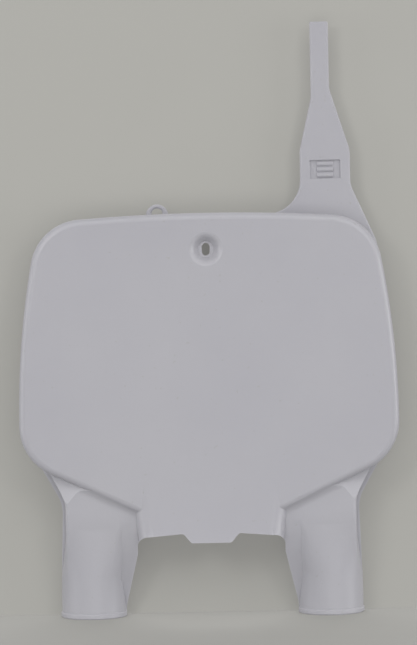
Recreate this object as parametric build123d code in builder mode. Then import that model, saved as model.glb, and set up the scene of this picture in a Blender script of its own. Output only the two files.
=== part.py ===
import math
import os

from build123d import *

# Racing number board for the front of an off-road motorbike, one thin-walled plastic moulding.
# X runs across the board, -Y is the way the face looks and Z is up.
# The origin is the middle of the screw slot, on the seat behind the dished boss.

# Driving dimensions in millimetres; rises and drops are measured from the screw slot
wall = 2.2  # moulded wall of the whole shell
board_width = 305.4  # widest part of the board
board_rise = 29.3  # top edge, at its middle
shoulder_width = 268.0  # top corners before they are rounded
shoulder_drop = 6.0  # top edge falls this much towards the corners
corner_drop = 166.6  # low corners before they are rounded
root_drop = 208.8  # sloping lower edges reach the sides of the lip here
top_corner_radius = 42.0
low_corner_radius = 42.0
waist_ease = 2.0  # straight part of each side above its low corner
roll_radius = 5.5  # face rolls back into the rim
face_radius = 6000.0  # face bows out a little from side to side
rim_depth = 27.0  # middle of the face to the rear edge of the rim

lip_width = 124.8  # lip between the legs, where the sloping edges reach it
lip_lean = 9.5  # sides of the lip draw in downwards by this angle
lip_roll = 13.0  # sides of the lip fall away to the legs in a wide curve
lip_drop = 227.2  # free lower edge of the lip
kick_drop = 185.0  # below this the lip sweeps forward out of the face
kick_radius = 200.0
tab_width = 31.8
tab_depth = 7.4
tab_slope = 6.4  # run of each sloping end of the tab
tab_radius = 3.0
gap_width = 119.0  # between the webs beside the lip
lip_fall = 3.0  # lower edge of the lip falls this much towards the legs
gap_radius = 9.0
web_height = 14.0  # below the lip by this much, the webs start to taper out along the legs
web_end = 8.0  # above the leg's end by this much, the webs have run out
web_radius = 15.0

recess_depth = 6.0  # dished boss round the screw
recess_mouth = 23.6
recess_floor = 13.0
recess_bevel = 1.8  # softened mouth of the dish
recess_flare = 3.6  # shallow flare round the mouth
recess_flare_depth = 0.6
slot_width = 6.4
slot_length = 10.2

fork_spacing = 192.6  # between the fork tubes
fork_bore = 48.2  # inside of each half-round cradle
crown_depth = 6.0  # middle of the face to the front of a leg
pad_length = 18.0  # flat leg front below the knee
pad_taper = 42.0  # flat front turns into the round cradle over this height
cradle_height = 31.8
pad_inner = 61.0
pad_outer = 117.0
pad_inner_roll = 14.0
pad_outer_roll = 3.0
crown_angle = 20.0  # part of the cradle, each side of its crown, that the flat front runs into
cove_radius = 8.0  # hollow curve from the sloping edge of the board on to the leg
facet_half = 114.5  # flat corner at the top of each leg, turned up and out
facet_drop = 201.7
facet_turn = 40.0
facet_tilt = 20.0
bead_height = 4.5
bead_rise = 0.9

knee_half = 120.0  # outer edge of the flange behind the legs, where it turns down the leg
knee_drop = 204.0
knee_radius = 30.0
flare_angle = 33.0  # flange above the knee runs into the low corner this far below its side
strip_width = 4.4  # flange showing outside the leg above the knee
sweep_rise = 70.0  # rear edge starts to sweep back this far above the leg's end
sweep_length = 50.0
web_drop = 212.0  # webs start to slope back from the front of the legs
web_bend = 33.0
web_dip = 6.0

strap_thickness = 3.0
strap_centre = 98.1
strap_width = 40.6
strap_low = 50.9
strap_high = 79.2
strap_base = 139.6  # strap's outer edge runs out to here at the side of the board
strap_base_rise = 3.0
strap_fillet = 28.0
strap_bend = 20.0
tail_centre = 95.2
tail_width = 14.9
tail_inner_knee = 122.0
tail_outer_knee = 129.0
tail_rise = 183.6
tail_radius = 1.5
plate_edge = 0.9  # softened front edges of the strap and the loop

window_width = 24.8
window_height = 15.4
window_rise = 63.6
window_depth = 1.5
window_radius = 1.0
grip_width = 13.0
grip_step = 4.6
grip_count = 3
grip_flank = 1.5  # each tooth slopes in by this much on both sides

loop_offset = 39.0
loop_radius = 9.0
loop_hole = 9.0
loop_hole_rise = 5.9
loop_thickness = 3.0

# Levels and depths worked out from them
board_half = board_width / 2
shoulder_half = shoulder_width / 2
shoulder_level = board_rise - shoulder_drop
lip_half = lip_width / 2
lip_reach = -(lip_drop + tab_depth + 2 * gap_radius)
lip_end = -lip_drop - lip_fall
lip_top = lip_roll - kick_drop
leg_radius = fork_bore / 2 + wall
fork_half = fork_spacing / 2
pad_level = -knee_drop - pad_length
cradle_level = pad_level - pad_taper
leg_level = cradle_level - cradle_height
web_level = lip_end - web_height
web_foot = leg_level + web_end
sweep_level = leg_level + sweep_rise
face_y = -(recess_depth + wall)
bow_y = face_y + face_radius
crown_y = face_y + crown_depth
fork_y = crown_y + leg_radius
rear_y = face_y + rim_depth
back_y = fork_y + leg_radius
front_y = face_y - rim_depth
clear_y = back_y + leg_radius
under_level = leg_level - wall
slope_run = board_half - lip_half
slope_fall = root_drop - corner_drop
slope_foot = -root_drop - lip_half * slope_fall / slope_run
slope_turn = math.atan2(slope_run, slope_fall)
waist_level = waist_ease + low_corner_radius * math.tan(slope_turn / 2) - corner_drop
pad_knee = strip_width - knee_drop
flare = (math.cos(math.radians(flare_angle)), -math.sin(math.radians(flare_angle)))
corner = (board_half - low_corner_radius, waist_level - waist_ease)
flange_reach = low_corner_radius - wall
flange_end = (corner[0] + flange_reach * flare[0], corner[1] + flange_reach * flare[1])
pad_reach = flange_reach - strip_width
pad_end = (corner[0] + pad_reach * flare[0], corner[1] + pad_reach * flare[1])
pad_middle = (pad_inner + pad_outer) / 2
step_depth = crown_depth - pad_middle**2 / (2 * face_radius)
step_bend = roll_radius + cove_radius
step_rise = step_bend - step_depth
step_run = math.sqrt(step_bend**2 - step_rise**2)
cove_foot = step_run - roll_radius
cove_head = cove_foot - cove_radius * step_run / step_bend
cove_y = crown_y - cove_radius * step_depth / step_bend
cove_back = crown_y + wall / 2
facet_lean = math.sin(math.radians(facet_tilt))
facet_out = facet_lean * math.cos(math.radians(facet_turn))
facet_up = facet_lean * math.sin(math.radians(facet_turn))
strap_y = rear_y - strap_thickness
strap_inner = strap_centre - strap_width / 2
strap_outer = strap_centre + strap_width / 2
strap_start = strap_inner - 2 * strap_fillet
tail_inner = tail_centre - tail_width / 2
tail_outer = tail_centre + tail_width / 2
near = wall / 10
bevel_share = 2 - math.sqrt(2)  # of a radius, for a bevel that keeps the wall behind the round


def at(shapes, axis, level):
    return shapes.filter_by_position(axis, level - near, level + near)


def rim_level(offset_x):
    return board_rise - shoulder_drop * (offset_x / shoulder_half) ** 2


with BuildSketch() as board_outline:
    with BuildLine():
        TangentArc((0, board_rise), (shoulder_half, shoulder_level), tangent=(1, 0))
        TangentArc((board_half, waist_level), (shoulder_half, shoulder_level), tangent=(0, 1))
        Polyline((board_half, waist_level), (board_half, -corner_drop), (0, slope_foot))
        mirror(about=Plane.YZ)
    make_face()
    fillet(at(board_outline.vertices(), Axis.Y, shoulder_level), top_corner_radius)
    fillet(at(board_outline.vertices(), Axis.Y, -corner_drop), low_corner_radius)

with BuildSketch() as pad_outline:
    with BuildLine():
        Polyline(
            (pad_inner, pad_level),
            (pad_outer, pad_level),
            (pad_outer, pad_knee),
            pad_end,
            (pad_inner, pad_end[1]),
            close=True,
        )
    make_face()
    fillet(at(pad_outline.vertices(), Axis.Y, pad_knee), knee_radius)

with BuildSketch() as flange_outline:
    with BuildLine():
        Polyline(
            (0, flange_end[1]),
            flange_end,
            (knee_half, -knee_drop),
            (fork_half + leg_radius, sweep_level - sweep_length),
            (fork_half + leg_radius, leg_level),
            (0, leg_level),
        )
        mirror(about=Plane.YZ)
    make_face()
    fillet(at(flange_outline.vertices(), Axis.Y, -knee_drop), knee_radius)


def draw_inset(outline, inset):
    # Parallel outline, with every edge drawn afresh as a plain line or arc
    with BuildSketch() as moved:
        add(outline)
        if inset:
            offset(amount=-inset)
    for edge in moved.edges():
        if edge.geom_type == GeomType.LINE:
            Line(edge @ 0, edge @ 1)
        else:
            ThreePointArc(edge @ 0, edge @ 0.5, edge @ 1)


def board_form(inset):
    # Board above its sloping lower edges, drawn from back to front, with a bowed face and a rolled rim
    back = back_y + inset
    with BuildPart() as form:
        with BuildSketch(Plane.XZ.offset(-back)):
            with BuildLine():
                draw_inset(board_outline.sketch, inset)
            make_face()
        extrude(amount=back - front_y)
        with Locations((0, bow_y, (board_rise + slope_foot) / 2)):
            Cylinder(face_radius - inset, board_rise - slope_foot, mode=Mode.INTERSECT)
        rim = form.edges().filter_by(Axis.Y, reverse=True).filter_by_position(Axis.Y, front_y, rear_y)
        if inset:
            chamfer(rim, bevel_share * (roll_radius - inset))
        else:
            fillet(rim, roll_radius)
    return form.part


def lip_form(inset):
    # Lip that sweeps forward out of the face, with sides that fall away to the legs
    back = back_y + inset
    lean = math.tan(math.radians(lip_lean))
    high_half = lip_half + (lip_top + root_drop) * lean - inset
    low_half = lip_half + (lip_reach + root_drop) * lean - inset
    bow_edge = bow_y + face_radius - inset
    hollow_radius = kick_radius + inset
    kick_fall = -kick_drop - lip_reach
    kick_reach = bow_edge + hollow_radius - math.sqrt(hollow_radius**2 - kick_fall**2)
    with BuildPart() as form:
        with BuildSketch(Plane.XZ.offset(-back)):
            with BuildLine():
                Polyline((0, lip_top), (high_half, lip_top), (low_half, lip_reach), (0, lip_reach))
                mirror(about=Plane.YZ)
            make_face()
        extrude(amount=back - front_y)
        with BuildSketch(Plane.YZ):
            with BuildLine():
                TangentArc((bow_edge, -kick_drop), (kick_reach, lip_reach), tangent=(0, -1))
                Polyline(
                    (kick_reach, lip_reach),
                    (bow_y, lip_reach),
                    (bow_y, lip_top),
                    (bow_edge, lip_top),
                    (bow_edge, -kick_drop),
                )
            make_face()
        revolve(axis=Axis((0, bow_y, 0), (0, 0, 1)), mode=Mode.INTERSECT)
        front = form.edges().filter_by(Axis.Y, reverse=True).filter_by_position(Axis.Y, front_y, rear_y)
        sides = front.filter_by(lambda edge: abs(edge.center().X) > near)
        if inset:
            chamfer(sides, bevel_share * (lip_roll - inset))
        else:
            fillet(sides, lip_roll)
    return form.part


def leg_form(inset):
    # Flat pad behind the board's sloping edge, running down into a half-round cradle
    back = back_y + inset
    inner = pad_inner + inset
    outer = pad_outer - inset
    front = crown_y + inset
    inner_roll = pad_inner_roll - inset
    outer_roll = pad_outer_roll - inset
    radius = leg_radius - inset
    crown_run = radius * math.sin(math.radians(crown_angle))
    crown_front = fork_y - radius * math.cos(math.radians(crown_angle))
    with BuildPart() as form:
        with BuildSketch(Plane.XZ.offset(-back)):
            with BuildLine():
                draw_inset(pad_outline.sketch, inset)
            make_face()
        extrude(amount=back - front)
        sides = at(form.edges(), Axis.Y, front).filter_by(Axis.X, reverse=True).sort_by(Axis.X)
        fillet(sides[0], inner_roll)
        fillet(sides[1:], outer_roll)
        with BuildSketch(Plane.XY.offset(pad_level + inset)):
            with BuildLine():
                inside = Line((inner, back), (inner, front + inner_roll))
                TangentArc(inside @ 1, (inner + inner_roll, front), tangent=inside % 1)
                flat = Line((inner + inner_roll, front), (outer - outer_roll, front))
                TangentArc(flat @ 1, (outer, front + outer_roll), tangent=flat % 1)
                Polyline((outer, front + outer_roll), (outer, back), (inner, back))
            make_face()
        with BuildSketch(Plane.XY.offset(cradle_level + inset)) as cradle:
            with BuildLine():
                inside = Line((fork_half - radius, back), (fork_half - radius, fork_y))
                rise = TangentArc(inside @ 1, (fork_half - crown_run, crown_front), tangent=inside % 1)
                crown = TangentArc(rise @ 1, (fork_half + crown_run, crown_front), tangent=rise % 1)
                TangentArc(crown @ 1, (fork_half + radius, fork_y), tangent=crown % 1)
                Polyline((fork_half + radius, fork_y), (fork_half + radius, back), inside @ 0)
            make_face()
        loft(ruled=True)
        extrude(cradle.sketch, amount=-cradle_height - 2 * inset)
        if not inset:
            add(cove.part)
        split(bisect_by=facet.offset(-inset), keep=Keep.BOTTOM)
    return form.part


def rear_space(shift):
    # Everything behind the rear edge, which sweeps back to the middle of the fork tubes
    middle = ((rear_y + fork_y) / 2 + shift, sweep_level - sweep_length / 2)
    with BuildPart() as space:
        with BuildSketch(Plane.YZ.offset(-board_width)):
            with BuildLine():
                high = Line((rear_y + shift, tail_rise), (rear_y + shift, sweep_level))
                TangentArc(high @ 1, middle, tangent=(0, -1))
                low = Line((fork_y + shift, sweep_level - sweep_length), (fork_y + shift, under_level))
                TangentArc(low @ 0, middle, tangent=(0, 1))
                Polyline(low @ 1, (clear_y, under_level), (clear_y, tail_rise), high @ 0)
            make_face()
        extrude(amount=2 * board_width)
    return space.part


def web_form(inset):
    # Panel along the inside of the legs, level with their flat fronts at the top
    back = back_y + inset
    front = crown_y + inset
    half = fork_half - inset
    with BuildPart() as form:
        with BuildSketch(Plane.YZ.offset(-half)):
            with BuildLine():
                high = Line((front, flange_end[1]), (front, -web_drop))
                bend = TangentArc(high @ 1, (front + web_dip, -web_drop - web_bend), tangent=(0, -1))
                Polyline(
                    bend @ 1,
                    (fork_y - wall + inset, leg_level),
                    (back, leg_level),
                    (back, flange_end[1]),
                    high @ 0,
                )
            make_face()
        extrude(amount=2 * half)
    return form.part


facet_front = -math.sqrt(1 - facet_lean**2)
facet = Plane((facet_half, crown_y, -facet_drop), z_dir=(facet_out, facet_front, facet_up))
slope = Vector(slope_run, 0, slope_fall).normalized()
slope_start = (pad_middle, 0, slope_foot + pad_middle * slope_fall / slope_run)
cove_reach = (pad_middle - lip_half + lip_roll) / slope.X

with BuildPart() as cove:
    with BuildSketch(Plane(slope_start, x_dir=(slope.Z, 0, -slope.X), z_dir=slope)):
        with BuildLine():
            TangentArc((cove_foot, crown_y), (cove_head, cove_y), tangent=(-1, 0))
            Polyline(
                (cove_head, cove_y),
                (-roll_radius, cove_y),
                (-roll_radius, cove_back),
                (cove_foot, cove_back),
                (cove_foot, crown_y),
            )
        make_face()
    extrude(amount=cove_reach, both=True)

board_skin = board_form(0)
board_hollow = board_form(wall)
lip_skin = lip_form(0)
lip_hollow = lip_form(wall)
leg_skin = leg_form(0)
leg_hollow = leg_form(wall)
web_skin = web_form(0)
web_hollow = web_form(wall)
behind = rear_space(0)
flange_space = rear_space(-wall)

with BuildPart() as flange:
    with BuildSketch(Plane.XZ.offset(-back_y)):
        add(flange_outline.sketch)
    extrude(amount=back_y - crown_y)
    add(flange_space, mode=Mode.INTERSECT)

with BuildPart() as strap:
    with BuildSketch(Plane.XZ.offset(-rear_y)) as strap_outline:
        with BuildLine():
            Polyline(
                (tail_inner, tail_rise),
                (tail_outer, tail_rise),
                (tail_outer, tail_outer_knee),
                (strap_outer, strap_high),
                (strap_outer, strap_low),
                (strap_base, strap_base_rise),
                (strap_base, -strap_width),
                (strap_start, -strap_width),
                (strap_start, rim_level(strap_start)),
                (strap_inner, rim_level(strap_inner)),
                (strap_inner, strap_high),
                (tail_inner, tail_inner_knee),
                close=True,
            )
        make_face()
        fillet(at(strap_outline.vertices(), Axis.Y, tail_rise), tail_radius)
        for level in (tail_inner_knee, tail_outer_knee, strap_high, strap_low, strap_base_rise):
            fillet(at(strap_outline.vertices(), Axis.Y, level), strap_bend)
        fillet(at(strap_outline.vertices(), Axis.Y, rim_level(strap_inner)), strap_fillet)
    extrude(amount=strap_thickness)
    chamfer(at(strap.edges(), Axis.Y, strap_y), plate_edge)
    with BuildSketch(Plane.XZ.offset(-strap_y)):
        with Locations((strap_centre, window_rise)):
            RectangleRounded(window_width, window_height, window_radius)
    extrude(amount=-window_depth, mode=Mode.SUBTRACT)
    with BuildSketch(Plane.YZ.offset(strap_centre - grip_width / 2)):
        for tooth in range(grip_count):
            root = window_rise + (tooth - grip_count / 2) * grip_step
            with BuildLine():
                Polyline(
                    (strap_y + window_depth, root),
                    (strap_y + window_depth, root + grip_step),
                    (strap_y, root + grip_step - grip_flank),
                    (strap_y, root + grip_flank),
                    close=True,
                )
            make_face()
    extrude(amount=grip_width)

with BuildPart() as loop:
    with BuildSketch(Plane.XZ.offset(-rear_y)):
        with Locations((-loop_offset, rim_level(loop_offset))):
            Circle(loop_radius)
            SlotOverall(2 * loop_hole_rise, loop_hole, rotation=90, mode=Mode.SUBTRACT)
    extrude(amount=loop_thickness)
    chamfer(at(loop.edges(), Axis.Y, rear_y - loop_thickness), plate_edge)

with BuildPart() as bead:
    with BuildSketch(Plane.XZ.offset(-fork_y)):
        with BuildLine():
            Polyline(
                (fork_half + leg_radius - wall / 2, leg_level),
                (fork_half + leg_radius, leg_level),
                (fork_half + leg_radius + bead_rise, leg_level + bead_rise),
                (fork_half + leg_radius + bead_rise, leg_level + bead_height - bead_rise),
                (fork_half + leg_radius, leg_level + bead_height),
                (fork_half + leg_radius - wall / 2, leg_level + bead_height),
                close=True,
            )
        make_face()
    revolve(axis=Axis((fork_half, fork_y, 0), (0, 0, -1)), revolution_arc=180)

with BuildPart() as number_board:
    add(board_skin)
    add(lip_skin)
    add(leg_skin)
    add(mirror(leg_skin, about=Plane.YZ, mode=Mode.PRIVATE))
    add(flange.part)
    add(web_skin)
    add(strap.part)
    add(loop.part)
    add(board_hollow, mode=Mode.SUBTRACT)
    add(lip_hollow, mode=Mode.SUBTRACT)
    add(leg_hollow, mode=Mode.SUBTRACT)
    add(mirror(leg_hollow, about=Plane.YZ, mode=Mode.PRIVATE), mode=Mode.SUBTRACT)
    add(web_hollow, mode=Mode.SUBTRACT)
    add(behind, mode=Mode.SUBTRACT)
    add(bead.part)
    add(mirror(bead.part, about=Plane.YZ, mode=Mode.PRIVATE))
    with BuildSketch(Plane.XZ.offset(-back_y)) as gap:
        with BuildLine():
            Polyline(
                (0, -lip_drop - tab_depth),
                (tab_width / 2, -lip_drop - tab_depth),
                (tab_width / 2 + tab_slope, -lip_drop),
                (gap_width / 2, lip_end),
                (gap_width / 2, web_level),
                (fork_half - leg_radius, web_foot),
                (fork_half - leg_radius, leg_level),
                (0, leg_level),
            )
            mirror(about=Plane.YZ)
        make_face()
        fillet(at(gap.vertices(), Axis.Y, lip_end), gap_radius)
        fillet(at(gap.vertices(), Axis.Y, -lip_drop), tab_radius)
        for level in (web_level, web_foot):
            fillet(at(gap.vertices(), Axis.Y, level), web_radius)
        for tab_end in (-tab_width / 2, tab_width / 2):
            fillet(at(gap.vertices(), Axis.X, tab_end), tab_radius)
    extrude(amount=back_y - front_y, mode=Mode.SUBTRACT)
    with BuildSketch(Plane.YZ):
        with BuildLine():
            Polyline(
                (0, 0),
                (0, recess_floor / 2 + wall),
                (face_y + wall / 2, recess_mouth / 2 + wall),
                (face_y + wall / 2, 0),
                close=True,
            )
        make_face()
    revolve(axis=Axis.Y)
    with BuildSketch(Plane.YZ):
        with BuildLine():
            Polyline(
                (-wall, 0),
                (-wall, recess_floor / 2),
                (face_y + recess_bevel, recess_mouth / 2 - recess_bevel),
                (face_y + recess_flare_depth, recess_mouth / 2),
                (face_y - recess_flare_depth, recess_mouth / 2 + recess_flare),
                (face_y - recess_flare_depth, 0),
                close=True,
            )
        make_face()
    revolve(axis=Axis.Y, mode=Mode.SUBTRACT)
    with BuildSketch(Plane.XZ):
        SlotOverall(slot_length, slot_width, rotation=90)
    extrude(amount=recess_depth, mode=Mode.SUBTRACT)

number_board.part.label = "number_board"
os.makedirs("parts", exist_ok=True)
export_step(number_board.part, "parts/number_board.step")
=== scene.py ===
import math
import bmesh
import bpy
from mathutils import Matrix, Vector


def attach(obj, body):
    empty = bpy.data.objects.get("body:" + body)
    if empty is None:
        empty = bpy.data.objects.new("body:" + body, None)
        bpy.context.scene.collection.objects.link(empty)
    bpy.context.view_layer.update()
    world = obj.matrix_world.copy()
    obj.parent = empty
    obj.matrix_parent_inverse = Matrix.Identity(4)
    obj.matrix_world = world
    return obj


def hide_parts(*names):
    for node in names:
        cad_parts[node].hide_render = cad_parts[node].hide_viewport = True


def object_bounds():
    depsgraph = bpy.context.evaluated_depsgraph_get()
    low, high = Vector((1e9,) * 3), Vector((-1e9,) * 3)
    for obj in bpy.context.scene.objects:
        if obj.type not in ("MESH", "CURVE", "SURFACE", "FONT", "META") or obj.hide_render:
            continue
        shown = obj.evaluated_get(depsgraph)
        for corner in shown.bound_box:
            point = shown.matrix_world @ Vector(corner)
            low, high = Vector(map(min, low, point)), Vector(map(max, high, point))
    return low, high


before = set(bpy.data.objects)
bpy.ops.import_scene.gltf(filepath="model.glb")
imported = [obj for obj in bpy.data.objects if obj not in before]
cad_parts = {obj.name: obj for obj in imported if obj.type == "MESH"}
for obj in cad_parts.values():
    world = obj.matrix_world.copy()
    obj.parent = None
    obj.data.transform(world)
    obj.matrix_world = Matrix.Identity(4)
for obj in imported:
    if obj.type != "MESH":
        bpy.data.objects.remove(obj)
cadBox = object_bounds()
print("stage 1: frame loaded, box", [round(v, 4) for v in cadBox[0]], [round(v, 4) for v in cadBox[1]])


def fromScreen(red, green, blue):
    # a colour as read on screen, 0 to 255, as the linear values that shaders take (sRGB's own curve)
    shares = [value / 255 for value in (red, green, blue)]
    linear = [v / 12.92 if v <= 0.04045 else ((v + 0.055) / 1.055) ** 2.4 for v in shares]
    return (*linear, 1.0)


def showMesh(name, form, smooth=True):
    # a finished bmesh as an object at the origin
    mesh = bpy.data.meshes.new(name)
    form.to_mesh(mesh)
    form.free()
    if smooth:
        mesh.shade_smooth()
    made = bpy.data.objects.new(name, mesh)
    bpy.context.scene.collection.objects.link(made)
    return made


class Wire:
    # one socket, so that shader maths reads as an expression
    def __init__(self, finish, socket):
        self.finish = finish
        self.socket = socket

    def maths(self, operation, first, second):
        return self.finish.add("ShaderNodeMath", {"operation": operation}, {0: first, 1: second})

    def __add__(self, other):
        return self.maths("ADD", self, other)

    def __radd__(self, other):
        return self.maths("ADD", other, self)

    def __sub__(self, other):
        return self.maths("SUBTRACT", self, other)

    def __rsub__(self, other):
        return self.maths("SUBTRACT", other, self)

    def __mul__(self, other):
        return self.maths("MULTIPLY", self, other)

    def __rmul__(self, other):
        return self.maths("MULTIPLY", other, self)


class Finish:
    # a material or world under construction
    def __init__(self, block):
        block.use_nodes = True
        self.block = block
        self.tree = block.node_tree
        self.tree.nodes.clear()

    def add(self, kind, settings, sockets, out=0):
        # a node with its settings, then its sockets; gives the output that out names or numbers
        node = self.tree.nodes.new(kind)
        for name, value in settings.items():
            setattr(node, name, value)
        for name, value in sockets.items():
            if isinstance(value, Wire):
                self.tree.links.new(value.socket, node.inputs[name])
            else:
                node.inputs[name].default_value = value
        return Wire(self, node.outputs[out]) if node.outputs else None

    def blend(self, share, first, second):
        # colours mixed by a share: 6 and 7 are the node's colour inputs, 2 its colour output
        return self.add(
            "ShaderNodeMix", {"data_type": "RGBA"}, {0: share, 6: first, 7: second}, 2
        )

    def limits(self, value, low, high):
        # how far a value has gone from low to high, 0 to 1
        return self.add(
            "ShaderNodeMapRange", {"clamp": True}, {0: value, 1: low, 2: high, 3: 0.0, 4: 1.0}
        )

    def noise(self, place, scale, detail):
        return self.add(
            "ShaderNodeTexNoise", {}, {"Vector": place, "Scale": scale, "Detail": detail}
        )

    def squeezed(self, place, scale, turn):
        # place squeezed along its own axes, then turned
        return self.add(
            "ShaderNodeMapping", {}, {"Vector": place, "Rotation": turn, "Scale": scale}
        )


# moulded shell
shellLook = {
    "colour": fromScreen(174, 173, 178),
    "shadedColour": fromScreen(171, 170, 176),
    "scuffColour": fromScreen(184, 183, 187),
    "dustColour": fromScreen(156, 153, 148),
    # noise patterns: scale and detail
    "cloud": (9.0, 2.0),
    "grain": (1400.0, 2.0),
    "peel": (260.0, 1.0),
    "scuff": (24.0, 3.0),
    "dust": (420.0, 0.0),
    # noise values at which a pattern starts and is full
    "cloudSpan": (0.3, 0.7),
    "wornSpan": (0.45, 0.65),
    "scuffSpan": (0.66, 0.78),
    "dustSpan": (0.80, 0.86),
    "cloudMiddle": 0.5,
    "scuffSqueeze": (1, 1, 30),  # scuffs are long across the board and thin in height
    "scuffTurn": (0, math.radians(24), 0),  # after the squeeze, so the scuffs stay level
    "scuffShare": 0.22,
    "dustShare": 0.30,
    "roughness": 0.34,
    "roughnessSpread": 0.10,
    "scuffRoughness": 0.08,
    "glow": 0.5,  # share of the light that goes through the plastic's surface
    "glowReach": 0.0025,  # how far it spreads there, in metres
    "grainHeight": 0.00003,  # metres, as the Bump node takes them with a Distance of 1
    "peelHeight": 0.00006,
}


def makeMouldedPlastic(look):
    finish = Finish(bpy.data.materials.new("mouldedPlastic"))
    place = finish.add("ShaderNodeTexCoord", {}, {}, "Object")
    cloud = finish.noise(place, *look["cloud"])
    grain = finish.noise(place, *look["grain"])
    peel = finish.noise(place, *look["peel"])
    # hairline scuffs, shown only in the worn patches
    level = finish.squeezed(place, look["scuffSqueeze"], look["scuffTurn"])
    scuff = finish.limits(finish.noise(level, *look["scuff"]), *look["scuffSpan"])
    worn = finish.limits(cloud, *look["wornSpan"])
    speck = finish.limits(finish.noise(place, *look["dust"]), *look["dustSpan"])
    clean = finish.limits(cloud, *look["cloudSpan"])
    tone = finish.blend(clean, look["shadedColour"], look["colour"])
    tone = finish.blend(look["scuffShare"] * scuff * worn, tone, look["scuffColour"])
    tone = finish.blend(look["dustShare"] * speck, tone, look["dustColour"])
    rough = look["roughness"] + look["roughnessSpread"] * (cloud - look["cloudMiddle"])
    rough = rough + look["scuffRoughness"] * scuff * worn
    height = look["grainHeight"] * grain + look["peelHeight"] * peel
    bump = finish.add("ShaderNodeBump", {}, {"Height": height, "Strength": 1.0, "Distance": 1.0})
    shader = finish.add(
        "ShaderNodeBsdfPrincipled",
        {},
        {
            "Base Color": tone,
            "Roughness": rough,
            "Normal": bump,
            "Subsurface Weight": look["glow"],
            "Subsurface Radius": (1, 1, 1),  # alike for red, green and blue
            "Subsurface Scale": look["glowReach"],
        },
    )
    finish.add("ShaderNodeOutputMaterial", {}, {"Surface": shader})
    return finish.block


# the board: the solid's own faces joined up, shaded softly where the flat legs turn round
boardForm = {
    "join": 1e-6,  # corners of the loose triangles that are nearer than this become one
    "cradleHeight": 0.0318,  # half-round end of a leg, up from the part's lowest level
    "padTaper": 0.0420,  # stretch above it, over which the flat pad turns into the cradle
    "wall": 0.0022,  # the hollow's levels lie this much higher than the skin's
    "levelReach": 0.0002,  # how near to a level a corner has to lie
    "legFrom": 0.056,  # the legs lie further than this from the middle
    "softTurn": math.radians(50),  # sharper corners stay sharp
}


def makeBoard(form, material):
    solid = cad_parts["number_board"]
    corners = [corner.vector.copy() for corner in solid.data.corner_normals]
    shape = bmesh.new()
    shape.from_mesh(solid.data)
    kept = shape.loops.layers.float_vector.new("solidNormal")
    for face in shape.faces:
        for loop in face.loops:
            loop[kept] = corners[loop.index]
    bmesh.ops.remove_doubles(shape, verts=shape.verts, dist=form["join"])
    # average the solid's normals at the two ends of the taper, on the skin and in the hollow
    cradleLevel = cadBox[0].z + form["cradleHeight"]
    padLevel = cradleLevel + form["padTaper"]
    softLevels = [level + lift for level in (padLevel, cradleLevel) for lift in (0, form["wall"])]
    closest = math.cos(form["softTurn"])
    for vert in shape.verts:
        off = min(abs(vert.co.z - level) for level in softLevels)
        if off > form["levelReach"] or abs(vert.co.x) < form["legFrom"]:
            continue
        around = {loop: loop[kept].copy() for loop in vert.link_loops}
        for loop, normal in around.items():
            near = [other for other in around.values() if other.dot(normal) > closest]
            loop[kept] = sum(near, Vector()).normalized()
    normals = [loop[kept].copy() for face in shape.faces for loop in face.loops]
    shape.loops.layers.float_vector.remove(kept)
    board = showMesh("moulded_board", shape)
    board.data.normals_split_custom_set(normals)
    board.data.materials.append(material)
    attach(board, "root")
    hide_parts("number_board")
    return board


board = makeBoard(boardForm, makeMouldedPlastic(shellLook))
print("stage 2: board made,", len(board.data.polygons), "faces")

# pale paper floor and wall, seen from their top and their front only
backdropLook = {
    "wallColour": fromScreen(171, 170, 165),
    "floorColour": fromScreen(170, 169, 165),
    "mottleColour": fromScreen(150, 149, 145),
    "mottle": (14.0, 2.0),  # noise scale and detail
    "mottleSpan": (0.3, 0.7),
    "mottleShare": 0.05,
    "ownLight": 0.24,  # share of the paper that shines, so that it stays pale in narrow gaps
    "wallGap": 0.0079,  # from the part's rear to the wall
    "size": 4.0,
    "fold": 0.001,  # height over which the floor's colour turns into the wall's
}


def makeBackdrop(look):
    floor = cadBox[0].z
    finish = Finish(bpy.data.materials.new("palePaper"))
    place = finish.add("ShaderNodeTexCoord", {}, {}, "Object")
    mottle = finish.limits(finish.noise(place, *look["mottle"]), *look["mottleSpan"])
    height = finish.add("ShaderNodeSeparateXYZ", {}, {0: place}, "Z")
    risen = finish.limits(height, floor, floor + look["fold"])
    tone = finish.blend(risen, look["floorColour"], look["wallColour"])
    tone = finish.blend(look["mottleShare"] * mottle, tone, look["mottleColour"])
    matt = finish.add("ShaderNodeBsdfDiffuse", {}, {"Color": tone})
    lit = finish.add("ShaderNodeEmission", {}, {"Color": tone, "Strength": 1.0})
    paper = finish.add("ShaderNodeMixShader", {}, {0: look["ownLight"], 1: matt, 2: lit})
    # clear to other rays and from behind, so that it shows shadows but keeps no light off the part
    clear = finish.add("ShaderNodeBsdfTransparent", {}, {})
    rays = ("Is Camera Ray", "Is Glossy Ray", "Is Transmission Ray")
    seen = sum(finish.add("ShaderNodeLightPath", {}, {}, ray) for ray in rays)
    behind = finish.add("ShaderNodeNewGeometry", {}, {}, "Backfacing")
    cover = finish.add("ShaderNodeMixShader", {}, {0: seen * (1 - behind), 1: clear, 2: paper})
    finish.add("ShaderNodeOutputMaterial", {}, {"Surface": cover})
    half = look["size"] / 2
    lying = Matrix.Translation((0, 0, floor))
    upright = Matrix.Rotation(math.pi / 2, 4, "X")
    standing = Matrix.Translation((0, cadBox[1].y + look["wallGap"], floor + half)) @ upright
    form = bmesh.new()
    for sheet in (lying, standing):
        bmesh.ops.create_grid(form, x_segments=1, y_segments=1, size=half, matrix=sheet)
    backdrop = showMesh("paperBackdrop", form, smooth=False)
    backdrop.data.materials.append(finish.block)


makeBackdrop(backdropLook)
print("stage 3: backdrop made")

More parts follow.
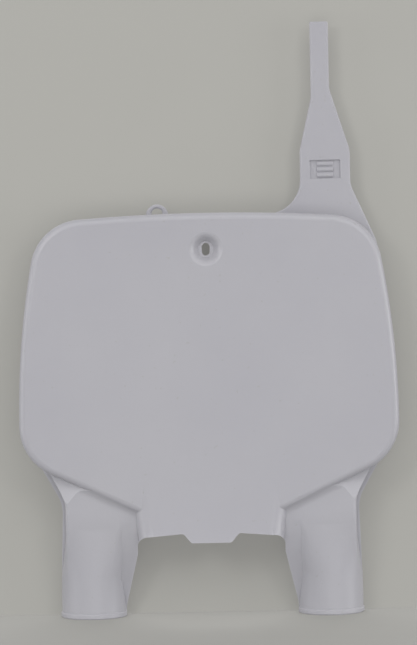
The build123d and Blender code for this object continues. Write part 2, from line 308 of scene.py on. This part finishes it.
# light: an even room, large soft boxes in front and behind, a low one and small ones at both sides
lightLook = {
    "sky": 0.46,
    "target": (0.0, 0.0, -0.06),
    "boxes": (
        {"name": "frontBox", "place": (0.10, -3.65, 4.00), "size": (7.0, 2.9), "power": 108.0},
        {"name": "backBox", "place": (0.00, 3.00, 2.00), "size": (4.0, 3.0), "power": 60.0},
        {"name": "lowBox", "place": (0.00, -1.30, -0.45), "size": (1.6, 0.5), "power": 3.1},
        {"name": "rightSideBox", "place": (1.50, -0.45, 0.00), "size": (0.8, 0.8), "power": 6.5},
        {"name": "leftSideBox", "place": (-1.50, -0.45, 0.00), "size": (0.8, 0.8), "power": 4.0},
        {"name": "rightBox", "place": (0.80, -1.25, 0.45), "size": (0.4, 0.4), "power": 2.2},
        {"name": "leftBox", "place": (-0.80, -1.25, 0.45), "size": (0.4, 0.4), "power": 3.4},
    ),
}


def makeLight(look):
    world = bpy.data.worlds.new("studio")
    finish = Finish(world)
    ambient = finish.add(
        "ShaderNodeBackground", {}, {"Color": (1, 1, 1, 1), "Strength": look["sky"]}
    )
    finish.add("ShaderNodeOutputWorld", {}, {"Surface": ambient})
    bpy.context.scene.world = world
    for box in look["boxes"]:
        lamp = bpy.data.lights.new(box["name"], "AREA")
        lamp.energy = box["power"]
        lamp.shape = "RECTANGLE"
        lamp.size, lamp.size_y = box["size"]
        made = bpy.data.objects.new(box["name"], lamp)
        made.location = box["place"]
        made.visible_camera = False  # a view from behind would show the boxes in front
        away = Vector(box["place"]) - Vector(look["target"])
        made.rotation_euler = away.to_track_quat("Z", "Y").to_euler()
        bpy.context.scene.collection.objects.link(made)


makeLight(lightLook)
print("stage 4: light made")

# camera as in the photograph, square to the face
shotLook = {
    "aim": (0.00105, -0.0082, -0.05885),
    "distance": 1.700,
    "frameHeight": 0.516,  # height that the picture takes in at the aim
    "rollSlope": 0.0202,
    "sensor": 36.0,  # millimetres along the picture's longer side
}


def makeCamera(look):
    lens = bpy.data.cameras.new("camera")
    lens.sensor_width = look["sensor"]
    lens.lens = look["sensor"] * look["distance"] / look["frameHeight"]
    camera = bpy.data.objects.new("camera", lens)
    camera.location = Vector(look["aim"]) - Vector((0, look["distance"], 0))
    camera.rotation_euler = (math.radians(90), math.atan(look["rollSlope"]), 0)
    bpy.context.scene.collection.objects.link(camera)
    bpy.context.scene.camera = camera


makeCamera(shotLook)
bpy.context.scene.view_settings.view_transform = "Standard"
print("stage 5: camera set")
